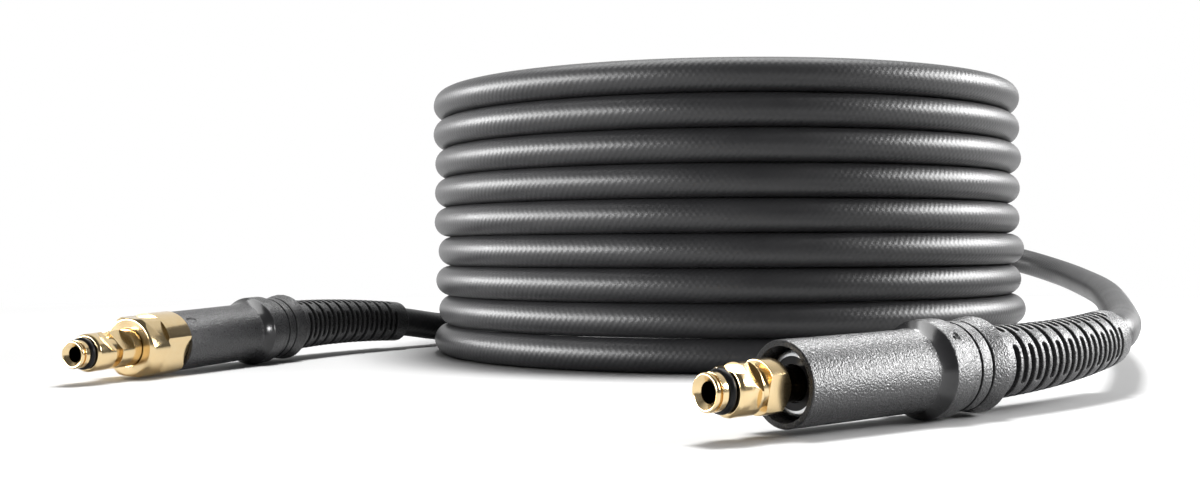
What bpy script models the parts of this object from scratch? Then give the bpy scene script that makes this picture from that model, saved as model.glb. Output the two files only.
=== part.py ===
"""A pressure washer hose: black rubber hose wound into a standing coil, with a plug fitting on each end.

Metres, +Z up, +Y away from the viewer. The origin is on the floor, under the middle of the whole hose.
"""

from math import cos, pi, radians, sin

import bmesh
import bpy
from mathutils import Matrix, Vector

OBJECT_NAME = "pressure_washer_hose"

# Room left between pieces that touch
CLEARANCE = 0.0003

# The hose and its coil, whose axis stands at COIL_X, COIL_Y
HOSE_DIAMETER = 0.013
HOSE_SIDES = 8
TURN_COUNT = 9
COIL_RADIUS = 0.1241
COIL_X = 0.0244
COIL_Y = 0.0730
COIL_STEPS = 48
TAIL_POINT_SPACING = 0.026
TAIL_CURVE_STEPS = 40

# Where the two tails run, each from its bend protector to the coil. The angles are in degrees from
# the coil's back toward the right. A point is the distance outside COIL_RADIUS and the height.
LEFT_ROUTE_ANGLES = (
    -74.42, -64.91, -53.46, -41.3, -30.14,
)
LEFT_ROUTE = (
    (0.0155, 0.009),
    (0.015, 0.0072),
    (0.0153, 0.0067),
    (0.0183, 0.0066),
    (0.0193, 0.0066),
)
LEFT_END_ANGLE = -20.0
RIGHT_ROUTE_ANGLES = (
    137.53, 124.86, 106.5, 89.02, 73.44, 62.64, 53.29, 42.61, 30.86, 16.7, 0.0, -16.7, -31.81,
)
RIGHT_ROUTE = (
    (0.0684, 0.0184),
    (0.0526, 0.0184),
    (0.0449, 0.0208),
    (0.0519, 0.0244),
    (0.0689, 0.028),
    (0.0848, 0.0325),
    (0.0917, 0.039),
    (0.0797, 0.048),
    (0.0611, 0.059),
    (0.0429, 0.072),
    (0.0339, 0.085),
    (0.0325, 0.097),
    (0.0277, 0.106),
)
RIGHT_END_ANGLE = -52.0

# Grip sleeve, measured along the fitting from the mouth of the right sleeve
SLEEVE_RADIUS = 0.0112
SLEEVE_WALL = 0.0016
SLEEVE_EDGE = 0.0004
FLARE_LENGTH = 0.0065
# How much of its rise the flare has made at each share of its length, from the flange's side
FLARE_CURVE = ((0.45, 0.68), (0.12, 0.35))
FLANGE_START = 0.0508
FLANGE_WIDTH = 0.0066
FLANGE_RADIUS = 0.0136
FLANGE_EDGE = 0.0003
SPIGOT_LENGTH = 0.0140
SPIGOT_RADIUS = 0.0088

# Bend protector
NECK_RADIUS = 0.0125
NECK_LENGTH = 0.0085
NECK_GROOVE_WIDTH = 0.0008
NECK_GROOVE_DEPTH = 0.0009
COLLAR_LENGTH = 0.0066
COLLAR_RADIUS = 0.0135
COLLAR_EDGE = 0.0006
COLLAR_BACK_EDGE = 0.0003
PROTECTOR_FIRST_RADIUS = 0.0106
PROTECTOR_LAST_RADIUS = 0.0090
SLOT_COUNT = 19
SLOT_PITCH = 0.0034
SLOT_WIDTH = 0.0018
SLOT_LEAD = 0.0055
SLOT_WEB = 0.0046
END_RING_LENGTH = 0.0068
END_RING_EDGE = 0.0010

# Ferrule crimped over the hose inside the sleeve
FERRULE_INSET = 0.0040
FERRULE_LENGTH = 0.0260
FERRULE_RADIUS = 0.0086
FERRULE_FRONT = 0.0020

# Plug nipples, measured from the tip
TIP_RADIUS = 0.0049
BORE_RADIUS = 0.0026
BORE_DEPTH = 0.0120
TIP_CHAMFER = 0.0007
LIP_LENGTH = 0.0037
SEAL_GROOVE_LENGTH = 0.0024
SEAL_GROOVE_RADIUS = 0.0036
SEAL_RADIUS = 0.00085
BODY_RADIUS = 0.0067
NECK_GAP_LENGTH = 0.0030
NECK_GAP_RADIUS = 0.0050
LATCH_GROOVE_LENGTH = 0.0030
LATCH_GROOVE_RADIUS = 0.0049
STEM_RADIUS = 0.0045
RIGHT_NIPPLE_LENGTH = 0.0252
RIGHT_BODY_LENGTH = 0.0073
RIGHT_LATCH_AT = 0.0033
WRENCH_COLLAR_LENGTH = 0.0072
WRENCH_COLLAR_RADIUS = 0.0070
WRENCH_COLLAR_CHAMFER = 0.0016
WRENCH_FLATS = 0.0102
WRENCH_FLATS_TURN = radians(104)
LEFT_BODY_LENGTH = 0.0221
LEFT_LATCH_AT = 0.0084

# Union nut of the left end
UNION_LENGTH = 0.0212
UNION_RADIUS = 0.0116
UNION_CHAMFER = 0.0012
UNION_BACK_EDGE = 0.0004
UNION_FACE_RADIUS = 0.0102
UNION_FLATS = 0.0210
UNION_FLATS_TURN = radians(4)
UNION_FLAT_LENGTH = 0.0091
UNION_BACK_FLATS = 0.0190
UNION_BACK_FLATS_TURN = radians(112)
UNION_OVER_SLEEVE = 0.0035
UNION_RECESS = 0.0015

# How the two ends lie: the middle of the flange, as its angle in degrees and its distance outside
# COIL_RADIUS, and the way the hose runs from the tip
RIGHT_FLANGE_ANGLE = 173.53
RIGHT_FLANGE_OUTSIDE = 0.1413
RIGHT_HEADING = radians(53.6)
RIGHT_RISE = radians(0.9)
RIGHT_BEND = radians(-15)
RIGHT_BEND_UP = radians(4)
LEFT_FLANGE_ANGLE = -109.91
LEFT_FLANGE_OUTSIDE = 0.0873
LEFT_HEADING = radians(24)
LEFT_RISE = radians(1.65)
LEFT_BEND = radians(13)
LEFT_BEND_UP = radians(-6)

SLEEVE_STEPS = 24
PROTECTOR_STEPS = 16
NIPPLE_STEPS = 16

BRASS = ("machined_brass", (0.80, 0.62, 0.30), 0.22, 1.0)
RUBBER = ("braided_rubber", (0.035, 0.036, 0.038), 0.50, 0.0)
PLASTIC = ("black_plastic", (0.030, 0.030, 0.032), 0.55, 0.0)
SEAL = ("seal_rubber", (0.015, 0.015, 0.016), 0.40, 0.0)
STEEL = ("zinc_plated_steel", (0.72, 0.73, 0.74), 0.25, 1.0)


# Scene, materials and small helpers


def clear_scene():
    for item in list(bpy.data.objects):
        bpy.data.objects.remove(item)


def new_collection(name, helper=False):
    collection = bpy.data.collections.new(name)
    collection.hide_render = helper
    bpy.context.scene.collection.children.link(collection)
    return collection


def material_of(spec):
    name, color, roughness, metallic = spec
    material = bpy.data.materials.get(name)
    if material is None:
        material = bpy.data.materials.new(name)
        material.use_nodes = True
        shader = material.node_tree.nodes["Principled BSDF"]
        shader.inputs["Base Color"].default_value = (*color, 1.0)
        shader.inputs["Roughness"].default_value = roughness
        shader.inputs["Metallic"].default_value = metallic
    return material


def add_object(name, data, collection, spec=None, parent=None):
    item = bpy.data.objects.new(name, data)
    collection.objects.link(item)
    if spec:
        data.materials.append(material_of(spec))
    item.parent = parent
    return item


def add_cutter(name, mesh, collection, parent=None):
    cutter = add_object(name, mesh, collection, parent=parent)
    cutter.hide_render = True
    cutter.display_type = "WIRE"
    return cutter


def solid_mesh(item):
    """The item's mesh with its modifiers applied."""
    bpy.context.view_layer.update()
    graph = bpy.context.evaluated_depsgraph_get()
    return bpy.data.meshes.new_from_object(item.evaluated_get(graph))


def apply_modifiers(item):
    mesh = solid_mesh(item)
    item.modifiers.clear()
    item.data = mesh


def smooth(item, angle=35):
    item.data.shade_smooth()
    item.data.set_sharp_from_angle(angle=radians(angle))


def turned(name, outline, steps, collection, spec, parent=None):
    """A piece turned about Z from (radius, height) points, closed or from axis to axis."""
    mesh = bpy.data.meshes.new(name)
    points = [(radius, 0.0, height) for radius, height in outline]
    edges = [(i, i + 1) for i in range(len(points) - 1)]
    if outline[0][0] or outline[-1][0]:
        edges.append((len(points) - 1, 0))
    mesh.from_pydata(points, edges, [])
    item = add_object(name, mesh, collection, spec, parent)
    screw = item.modifiers.new("Turn", "SCREW")
    screw.steps = steps
    screw.render_steps = steps
    screw.use_merge_vertices = True
    screw.merge_threshold = 0.00001
    apply_modifiers(item)
    smooth(item)
    return item


def boxes_mesh(name, boxes):
    """One mesh of boxes, each given by its centre and its three sides."""
    shape = bmesh.new()
    for centre, sides in boxes:
        made = bmesh.ops.create_cube(shape, size=1.0)["verts"]
        bmesh.ops.scale(shape, vec=sides, verts=made)
        bmesh.ops.translate(shape, vec=centre, verts=made)
    mesh = bpy.data.meshes.new(name)
    shape.to_mesh(mesh)
    shape.free()
    return mesh


def combine(item, other, operation):
    boolean = item.modifiers.new(operation.title(), "BOOLEAN")
    boolean.operation = operation
    boolean.object = other
    apply_modifiers(item)
    smooth(item)


# The coil


def around_coil(angle, outside, height):
    """A point this many degrees from the coil's back to the right, and this far outside its turns' middle."""
    reach = COIL_RADIUS + outside
    return Vector((COIL_X + reach * sin(radians(angle)), COIL_Y + reach * cos(radians(angle)), height))


def turn_side(number, side):
    """The corners of one turn's outer side (side 1) or inner side (side -1), from its top to its foot."""
    radius = HOSE_DIAMETER / 2
    middle = (number + 0.5) * HOSE_DIAMETER
    corner = pi / HOSE_SIDES
    corners = []
    for i in range(HOSE_SIDES // 2):
        angle = pi / 2 - corner - i * 2 * corner
        reach = radius / cos(corner)
        corners.append((COIL_RADIUS + side * reach * cos(angle), middle + reach * sin(angle)))
    return corners


def coil_outline():
    outer = [turn_side(number, 1) for number in reversed(range(TURN_COUNT))]
    inner = [list(reversed(turn_side(number, -1))) for number in range(TURN_COUNT)]
    outline = []
    for corners in outer + inner:
        for corner in corners:
            shared = outline and (Vector(corner) - Vector(outline[-1])).length < CLEARANCE / 10
            if not shared:
                outline.append(corner)
    return outline


def build_coil(collection):
    coil = turned("hose_coil", coil_outline(), COIL_STEPS, collection, RUBBER)
    coil.location = (COIL_X, COIL_Y, 0)


# The fittings' frames: local Z runs along the fitting from the tip to the hose, and local X points up


class End:
    """Where one end's fitting lies, where its sleeve's mouth is, and how its bend protector bends."""

    def __init__(self, name, mouth_at, angle, outside, heading, rise, bend, bend_up, collection):
        self.mouth_at = mouth_at
        along = Vector((sin(heading) * cos(rise), cos(heading) * cos(rise), sin(rise)))
        right = Vector((cos(heading), -sin(heading), 0))
        up = right.cross(along)
        flange = around_coil(angle, outside, FLANGE_RADIUS * cos(rise))
        mouth = flange - along * FLANGE_START
        axes = Matrix((up, along.cross(up), along)).transposed()
        self.frame = Matrix.Translation(mouth) @ axes.to_4x4()
        self.empty = bpy.data.objects.new(name, None)
        self.empty.matrix_world = self.frame
        collection.objects.link(self.empty)
        self.turn = (bend**2 + bend_up**2) ** 0.5
        # Local Y points right of the heading, so a positive bend turns right
        self.toward = Vector((bend_up, bend, 0)).normalized() if self.turn else Vector((0, 1, 0))

    def bent(self, point):
        """Where a point of the straight protector goes when it bends evenly behind its collar."""
        run = point.z - bend_start()
        if run <= 0 or not self.turn:
            return point
        length = protector_end() - bend_start()
        radius = length / self.turn
        angle = run / radius
        across = point.dot(self.toward)
        side = Vector((point.x, point.y, 0)) - self.toward * across
        centre = radius - across
        forward = Vector((0, 0, bend_start() + centre * sin(angle)))
        return side + self.toward * (radius - centre * cos(angle)) + forward

    def on_axis(self, distance):
        """The point of the hose's middle at this distance along the fitting."""
        return self.frame @ self.bent(Vector((0, 0, distance)))


def neck_start():
    return FLANGE_START + FLANGE_WIDTH + CLEARANCE


def collar_end():
    return neck_start() + NECK_LENGTH + COLLAR_LENGTH


def bend_start():
    return collar_end() + SLOT_LEAD


def protector_end():
    return bend_start() + SLOT_COUNT * SLOT_PITCH + END_RING_LENGTH


def ferrule_start(end):
    return end.mouth_at + FERRULE_INSET


def hose_start(end):
    return ferrule_start(end) + FERRULE_FRONT + CLEARANCE


# Grip sleeve and bend protector


def build_sleeve(side, end, collection):
    """The grip sleeve: a tube that flares into a broad flange."""
    start = end.mouth_at
    back = FLANGE_START + FLANGE_WIDTH
    flare = FLANGE_START - FLARE_LENGTH
    bore = SLEEVE_RADIUS - SLEEVE_WALL
    spigot_bore = SPIGOT_RADIUS + CLEARANCE
    shoulder = back - SPIGOT_LENGTH
    rise = FLANGE_RADIUS - SLEEVE_RADIUS
    curve = [(SLEEVE_RADIUS + rise * up, flare + FLARE_LENGTH * share) for up, share in FLARE_CURVE]
    outline = [
        (FLANGE_RADIUS - FLANGE_EDGE, back),
        (FLANGE_RADIUS, back - FLANGE_EDGE),
        (FLANGE_RADIUS, FLANGE_START),
        *curve,
        (SLEEVE_RADIUS, flare),
        (SLEEVE_RADIUS, start + SLEEVE_EDGE),
        (SLEEVE_RADIUS - SLEEVE_EDGE, start),
        (bore, start),
        (bore, shoulder),
        (spigot_bore, shoulder),
        (spigot_bore, back),
    ]
    turned(f"grip_sleeve_{side}", outline, SLEEVE_STEPS, collection, PLASTIC, end.empty)


def protector_radius(distance):
    share = (distance - collar_end()) / (protector_end() - collar_end())
    return PROTECTOR_FIRST_RADIUS + (PROTECTOR_LAST_RADIUS - PROTECTOR_FIRST_RADIUS) * share


def slot_boxes():
    """Two cuts for each slot ring, beside its two webs, with every other ring a quarter turn round."""
    reach = 2 * PROTECTOR_FIRST_RADIUS
    boxes = []
    for number in range(SLOT_COUNT):
        middle = bend_start() + (number + 0.5) * SLOT_PITCH
        for way in (-1, 1):
            offset = way * (SLOT_WEB + reach) / 2
            if number % 2:
                boxes.append(((offset, 0, middle), (reach, 2 * reach, SLOT_WIDTH)))
            else:
                boxes.append(((0, offset, middle), (2 * reach, reach, SLOT_WIDTH)))
    return boxes


def build_protector(side, end, collection, cutters):
    """The bend protector: a spigot in the sleeve, a grooved neck, a collar and a slotted tapering tube."""
    bore = HOSE_DIAMETER / 2 + CLEARANCE
    first = neck_start()
    neck_end = first + NECK_LENGTH
    groove = NECK_RADIUS - NECK_GROOVE_DEPTH
    middle = first + NECK_LENGTH / 2
    last = protector_end()
    front = FLANGE_START + FLANGE_WIDTH - SPIGOT_LENGTH + CLEARANCE
    outline = [
        (protector_radius(last) - END_RING_EDGE, last),
        (protector_radius(last), last - END_RING_EDGE),
        (protector_radius(bend_start()), bend_start()),
        (protector_radius(collar_end()), collar_end()),
        (COLLAR_RADIUS - COLLAR_BACK_EDGE, collar_end()),
        (COLLAR_RADIUS, collar_end() - COLLAR_EDGE),
        (NECK_RADIUS, neck_end + NECK_GROOVE_WIDTH),
        (groove, neck_end + NECK_GROOVE_WIDTH),
        (groove, neck_end),
        (NECK_RADIUS, neck_end),
        (NECK_RADIUS, middle + NECK_GROOVE_WIDTH / 2),
        (groove, middle + NECK_GROOVE_WIDTH / 2),
        (groove, middle - NECK_GROOVE_WIDTH / 2),
        (NECK_RADIUS, middle - NECK_GROOVE_WIDTH / 2),
        (NECK_RADIUS, first),
        (SPIGOT_RADIUS, first),
        (SPIGOT_RADIUS, front),
        (bore, front),
        (bore, bend_start()),
        (bore, last),
    ]
    protector = turned(f"bend_protector_{side}", outline, PROTECTOR_STEPS, collection, PLASTIC, end.empty)
    # The webs stand on the diagonals
    cutter = add_cutter(f"slots_{side}", boxes_mesh("slots", slot_boxes()), cutters, end.empty)
    cutter.rotation_euler = (0, 0, pi / 4)
    combine(protector, cutter, "DIFFERENCE")
    for vertex in protector.data.vertices:
        vertex.co = end.bent(vertex.co.copy())


# Ferrule, nipples, seals and the union


def build_ferrule(side, end, collection):
    """A cup over the hose's end, with a hole in its front for the nipple's stem."""
    inner = HOSE_DIAMETER / 2 + CLEARANCE
    hole = STEM_RADIUS + CLEARANCE
    front = ferrule_start(end)
    outline = [
        (FERRULE_RADIUS, front + FERRULE_LENGTH),
        (FERRULE_RADIUS, front),
        (hole, front),
        (hole, front + FERRULE_FRONT),
        (inner, front + FERRULE_FRONT),
        (inner, front + FERRULE_LENGTH),
    ]
    turned(f"ferrule_{side}", outline, SLEEVE_STEPS, collection, STEEL, end.empty)


def nipple_outline(body_length, latch_at):
    """The turned front of a plug nipple as (radius, distance from the tip), back to the end of its body."""
    seal_end = LIP_LENGTH + SEAL_GROOVE_LENGTH
    latch = seal_end + latch_at
    return [
        (0, BORE_DEPTH),
        (BORE_RADIUS, BORE_DEPTH),
        (BORE_RADIUS, TIP_CHAMFER),
        (BORE_RADIUS + TIP_CHAMFER, 0),
        (TIP_RADIUS - TIP_CHAMFER, 0),
        (TIP_RADIUS, TIP_CHAMFER),
        (TIP_RADIUS, LIP_LENGTH),
        (SEAL_GROOVE_RADIUS, LIP_LENGTH),
        (SEAL_GROOVE_RADIUS, seal_end),
        (BODY_RADIUS - TIP_CHAMFER, seal_end),
        (BODY_RADIUS, seal_end + TIP_CHAMFER),
        (BODY_RADIUS, latch),
        (LATCH_GROOVE_RADIUS, latch),
        (LATCH_GROOVE_RADIUS, latch + LATCH_GROOVE_LENGTH),
        (BODY_RADIUS, latch + LATCH_GROOVE_LENGTH),
        (BODY_RADIUS, seal_end + body_length),
    ]


def from_tip(outline, tip):
    """An outline measured from the tip, put at the tip's place and run down its outer side."""
    return [(radius, tip + distance) for radius, distance in reversed(outline)]


def build_seal(side, tip, end, collection):
    middle = tip + LIP_LENGTH + SEAL_GROOVE_LENGTH / 2
    centre = SEAL_GROOVE_RADIUS + CLEARANCE + SEAL_RADIUS
    outline = []
    for i in range(HOSE_SIDES):
        angle = -2 * pi * i / HOSE_SIDES
        outline.append((centre + SEAL_RADIUS * cos(angle), middle + SEAL_RADIUS * sin(angle)))
    turned(f"seal_ring_{side}", outline, NIPPLE_STEPS, collection, SEAL, end.empty)


def build_right_nipple(end, collection, cutters):
    """A plug nipple with a collar that has two wrench flats; its stem goes through the ferrule's front."""
    tip = -RIGHT_NIPPLE_LENGTH
    front = nipple_outline(RIGHT_BODY_LENGTH, RIGHT_LATCH_AT)
    neck = front[-1][1]
    collar = neck + NECK_GAP_LENGTH
    collar_back = collar + WRENCH_COLLAR_LENGTH
    stem_end = hose_start(end) - CLEARANCE - tip
    outline = front + [
        (NECK_GAP_RADIUS, neck),
        (NECK_GAP_RADIUS, collar),
        (WRENCH_COLLAR_RADIUS, collar),
        (WRENCH_COLLAR_RADIUS, collar_back - WRENCH_COLLAR_CHAMFER),
        (WRENCH_COLLAR_RADIUS - WRENCH_COLLAR_CHAMFER, collar_back),
        (STEM_RADIUS, collar_back),
        (STEM_RADIUS, stem_end),
        (0, stem_end),
    ]
    outline = from_tip(outline, tip)
    nipple = turned("plug_nipple_right", outline, NIPPLE_STEPS, collection, BRASS, end.empty)
    boxes = []
    for way in (-1, 1):
        offset = way * (WRENCH_FLATS + WRENCH_COLLAR_RADIUS) / 2
        size = (WRENCH_COLLAR_RADIUS, 4 * WRENCH_COLLAR_RADIUS, WRENCH_COLLAR_LENGTH + NECK_GAP_LENGTH)
        boxes.append(((offset, 0, tip + (neck + collar_back + CLEARANCE) / 2), size))
    cutter = add_cutter("wrench_flats_right", boxes_mesh("wrench_flats", boxes), cutters, end.empty)
    cutter.rotation_euler.z = WRENCH_FLATS_TURN
    combine(nipple, cutter, "DIFFERENCE")


def union_front():
    return UNION_OVER_SLEEVE - UNION_LENGTH


def build_left_nipple(end, collection):
    """A plug nipple with a longer body, which sits in the union's recess."""
    front = nipple_outline(LEFT_BODY_LENGTH, LEFT_LATCH_AT)
    seat = union_front() + UNION_RECESS - CLEARANCE
    tip = seat - front[-1][1]
    outline = front + [(0, front[-1][1])]
    turned("plug_nipple_left", from_tip(outline, tip), NIPPLE_STEPS, collection, BRASS, end.empty)
    build_seal("left", tip, end, collection)


def build_union(end, collection, cutters):
    """The brass union: six wrench flats, a round collar with two, and a spigot in the sleeve."""
    front = union_front()
    back = UNION_OVER_SLEEVE
    recess = BODY_RADIUS + CLEARANCE
    spigot = SLEEVE_RADIUS - SLEEVE_WALL - CLEARANCE
    spigot_end = ferrule_start(end) - CLEARANCE
    stem_end = hose_start(end) - CLEARANCE
    outline = [
        (0, stem_end),
        (STEM_RADIUS, stem_end),
        (STEM_RADIUS, spigot_end),
        (spigot, spigot_end),
        (spigot, back),
        (UNION_RADIUS - UNION_BACK_EDGE, back),
        (UNION_RADIUS, back - UNION_BACK_EDGE),
        (UNION_RADIUS, front + UNION_CHAMFER),
        (UNION_FACE_RADIUS, front),
        (recess, front),
        (recess, front + UNION_RECESS),
        (0, front + UNION_RECESS),
    ]
    union = turned("union_left", outline, SLEEVE_STEPS, collection, BRASS, end.empty)
    flats_end = front + UNION_FLAT_LENGTH
    sixth = pi / 3
    cuts = [(UNION_FLATS, UNION_FLATS_TURN + k * sixth, front - UNION_CHAMFER, flats_end) for k in range(3)]
    cuts.append((UNION_BACK_FLATS, UNION_BACK_FLATS_TURN, flats_end, back + UNION_CHAMFER))
    for number, (across, turn, start, finish) in enumerate(cuts):
        name = f"union_flats_{number}"
        boxes = []
        for way in (-1, 1):
            offset = way * (across + UNION_RADIUS) / 2
            size = (UNION_RADIUS, 4 * UNION_RADIUS, finish - start)
            boxes.append(((offset, 0, (start + finish) / 2), size))
        cutter = add_cutter(name, boxes_mesh(name, boxes), cutters, end.empty)
        cutter.rotation_euler.z = turn
        combine(union, cutter, "DIFFERENCE")


# The tails


def smooth_route(before, points, spacing):
    """Evenly spaced points of a smooth curve through the route's points, coming from the one before them."""
    dense = []
    padded = [before, *points, 2 * points[-1] - points[-2]]
    for a, b, c, d in zip(padded, padded[1:], padded[2:], padded[3:]):
        for step in range(TAIL_CURVE_STEPS):
            t = step / TAIL_CURVE_STEPS
            dense.append(
                0.5
                * (
                    2 * b
                    + (c - a) * t
                    + (2 * a - 5 * b + 4 * c - d) * t**2
                    + (3 * b - a - 3 * c + d) * t**3
                )
            )
    dense.append(points[-1])
    total = sum((b - a).length for a, b in zip(dense, dense[1:]))
    count = max(2, round(total / spacing))
    wanted = [total * i / count for i in range(count + 1)]
    even = []
    run = 0.0
    for a, b in zip(dense, dense[1:]):
        step = (b - a).length
        while len(even) < count and wanted[len(even)] <= run + step:
            even.append(a.lerp(b, (wanted[len(even)] - run) / step))
        run += step
    even.append(points[-1])
    return even


def build_tail(name, end, angles, route, last, collection):
    """The hose from its ferrule, through the bend protector and along its route to the coil's side."""
    inside = []
    distance = hose_start(end)
    while distance < protector_end() - HOSE_DIAMETER / 2:
        inside.append(end.on_axis(distance))
        distance += HOSE_DIAMETER
    way_out = [end.on_axis(protector_end() + step * HOSE_DIAMETER) for step in (0, 1)]
    middle = [around_coil(angle, *place) for angle, place in zip(angles, route)]
    points = inside + smooth_route(inside[-1], [*way_out, *middle, last], TAIL_POINT_SPACING)
    curve = bpy.data.curves.new(name, "CURVE")
    curve.dimensions = "3D"
    curve.bevel_depth = HOSE_DIAMETER / 2
    curve.bevel_resolution = 2
    curve.use_fill_caps = True
    spline = curve.splines.new("POLY")
    spline.points.add(len(points) - 1)
    for place, point in zip(spline.points, points):
        place.co = (*point, 1.0)
    add_object(name, curve, collection, RUBBER)


def main():
    clear_scene()
    parts = new_collection(OBJECT_NAME)
    cutters = new_collection("cutters", helper=True)
    build_coil(parts)
    right = End(
        "right_end",
        0.0,
        RIGHT_FLANGE_ANGLE,
        RIGHT_FLANGE_OUTSIDE,
        RIGHT_HEADING,
        RIGHT_RISE,
        RIGHT_BEND,
        RIGHT_BEND_UP,
        parts,
    )
    left = End(
        "left_end",
        UNION_OVER_SLEEVE + CLEARANCE,
        LEFT_FLANGE_ANGLE,
        LEFT_FLANGE_OUTSIDE,
        LEFT_HEADING,
        LEFT_RISE,
        LEFT_BEND,
        LEFT_BEND_UP,
        parts,
    )
    for side, end in (("right", right), ("left", left)):
        build_sleeve(side, end, parts)
        build_protector(side, end, parts, cutters)
        build_ferrule(side, end, parts)
    build_right_nipple(right, parts, cutters)
    build_seal("right", -RIGHT_NIPPLE_LENGTH, right, parts)
    build_left_nipple(left, parts)
    build_union(left, parts, cutters)
    beside = HOSE_DIAMETER + CLEARANCE
    top_turn = (TURN_COUNT - 0.5) * HOSE_DIAMETER
    left_last = around_coil(LEFT_END_ANGLE, beside, LEFT_ROUTE[-1][1])
    right_last = around_coil(RIGHT_END_ANGLE, beside, top_turn)
    build_tail("hose_tail_left", left, LEFT_ROUTE_ANGLES, LEFT_ROUTE, left_last, parts)
    build_tail("hose_tail_right", right, RIGHT_ROUTE_ANGLES, RIGHT_ROUTE, right_last, parts)


main()
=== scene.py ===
"""A coiled pressure washer hose with its two fittings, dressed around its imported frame."""

from math import atan2, cos, hypot, pi, radians, sin, sqrt

import bmesh
import bpy
from mathutils import Matrix, Vector


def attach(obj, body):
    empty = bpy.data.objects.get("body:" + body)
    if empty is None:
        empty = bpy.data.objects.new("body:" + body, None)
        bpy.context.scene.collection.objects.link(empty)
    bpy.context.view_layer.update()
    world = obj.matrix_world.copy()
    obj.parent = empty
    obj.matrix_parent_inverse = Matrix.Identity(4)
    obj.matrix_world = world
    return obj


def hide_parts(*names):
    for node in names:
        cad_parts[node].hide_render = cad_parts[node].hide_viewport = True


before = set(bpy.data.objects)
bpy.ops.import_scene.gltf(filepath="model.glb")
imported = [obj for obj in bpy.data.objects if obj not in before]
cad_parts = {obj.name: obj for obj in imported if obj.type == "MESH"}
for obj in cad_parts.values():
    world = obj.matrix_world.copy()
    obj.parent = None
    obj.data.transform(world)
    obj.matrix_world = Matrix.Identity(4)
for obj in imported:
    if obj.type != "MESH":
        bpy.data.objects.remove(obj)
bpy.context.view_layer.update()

# The photographer's camera: close to the floor and square to the coil, a little left of its axis.
# Its place and lens were fitted to the outline of the coil and of both fittings in the photo.

camera = bpy.data.objects.new("camera", bpy.data.cameras.new("camera"))
bpy.context.scene.collection.objects.link(camera)
camera.data.sensor_width = 36.0
camera.data.lens = 42.06
camera.location = (-0.0314, -0.5684, 0.0473)
camera.rotation_euler = (radians(90.098), radians(0.28), 0.0)
bpy.context.scene.camera = camera

# The studio: a plain white sweep of floor, surroundings that are bright behind, and soft lamps.
# The lamps give the long pale streaks on the turns' upper sides.

FLOOR_SIDE = 60.0
FLOOR_GREY = 0.46
# Metres from the middle of the hose at which the floor starts to glow, and glows fully
GLOW_START = 0.36
GLOW_FULL = 0.8
SURROUND_DIM = 0.10
SURROUND_BRIGHT = 0.90
WHITE = (1.0, 1.0, 1.0, 1.0)

floor_mesh = bpy.data.meshes.new("studio_floor")
half = FLOOR_SIDE / 2
floor_mesh.from_pydata(
    [(-half, -half, 0.0), (half, -half, 0.0), (half, half, 0.0), (-half, half, 0.0)],
    [],
    [(0, 1, 2, 3)],
)
studio_floor = bpy.data.objects.new("studio_floor", floor_mesh)
bpy.context.scene.collection.objects.link(studio_floor)
white = bpy.data.materials.new("studio_white")
white.use_nodes = True
white_shader = white.node_tree.nodes["Principled BSDF"]
white_shader.inputs["Base Color"].default_value = (FLOOR_GREY, FLOOR_GREY, FLOOR_GREY, 1.0)
white_shader.inputs["Roughness"].default_value = 0.9
white_shader.inputs["Specular IOR Level"].default_value = 0.1
# Far from the hose the sweep glows evenly, so that no horizon shows
floor_nodes, floor_links = white.node_tree.nodes, white.node_tree.links
floor_place = floor_nodes.new("ShaderNodeTexCoord").outputs["Object"]
away = floor_nodes.new("ShaderNodeVectorMath")
away.operation = "LENGTH"
floor_links.new(floor_place, away.inputs[0])
fade = floor_nodes.new("ShaderNodeMapRange")
fade.inputs["From Min"].default_value = GLOW_START
fade.inputs["From Max"].default_value = GLOW_FULL
floor_links.new(away.outputs["Value"], fade.inputs["Value"])
glow = floor_nodes.new("ShaderNodeEmission")
glow.inputs["Strength"].default_value = 1.0
sweep = floor_nodes.new("ShaderNodeMixShader")
floor_links.new(fade.outputs["Result"], sweep.inputs[0])
floor_links.new(white_shader.outputs[0], sweep.inputs[1])
floor_links.new(glow.outputs[0], sweep.inputs[2])
floor_links.new(sweep.outputs[0], floor_nodes["Material Output"].inputs["Surface"])
floor_mesh.materials.append(white)

world = bpy.data.worlds.new("studio")
world.use_nodes = True
nodes, links = world.node_tree.nodes, world.node_tree.links
surround = nodes["Background"]
surround.inputs["Color"].default_value = WHITE
facing = nodes.new("ShaderNodeSeparateXYZ")
links.new(nodes.new("ShaderNodeTexCoord").outputs["Generated"], facing.inputs[0])
behind = nodes.new("ShaderNodeMapRange")
behind.inputs["From Min"].default_value = -0.35
behind.inputs["From Max"].default_value = 0.65
behind.inputs["To Min"].default_value = SURROUND_DIM
behind.inputs["To Max"].default_value = SURROUND_BRIGHT
links.new(facing.outputs["Y"], behind.inputs["Value"])
links.new(behind.outputs["Result"], surround.inputs["Strength"])
backdrop = nodes.new("ShaderNodeBackground")
backdrop.inputs["Color"].default_value = WHITE
backdrop.inputs["Strength"].default_value = 1.0
seen = nodes.new("ShaderNodeLightPath")
either = nodes.new("ShaderNodeMixShader")
links.new(seen.outputs["Is Camera Ray"], either.inputs[0])
links.new(surround.outputs[0], either.inputs[1])
links.new(backdrop.outputs[0], either.inputs[2])
links.new(either.outputs[0], nodes["World Output"].inputs["Surface"])
bpy.context.scene.world = world
bpy.context.scene.view_settings.view_transform = "Standard"


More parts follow.
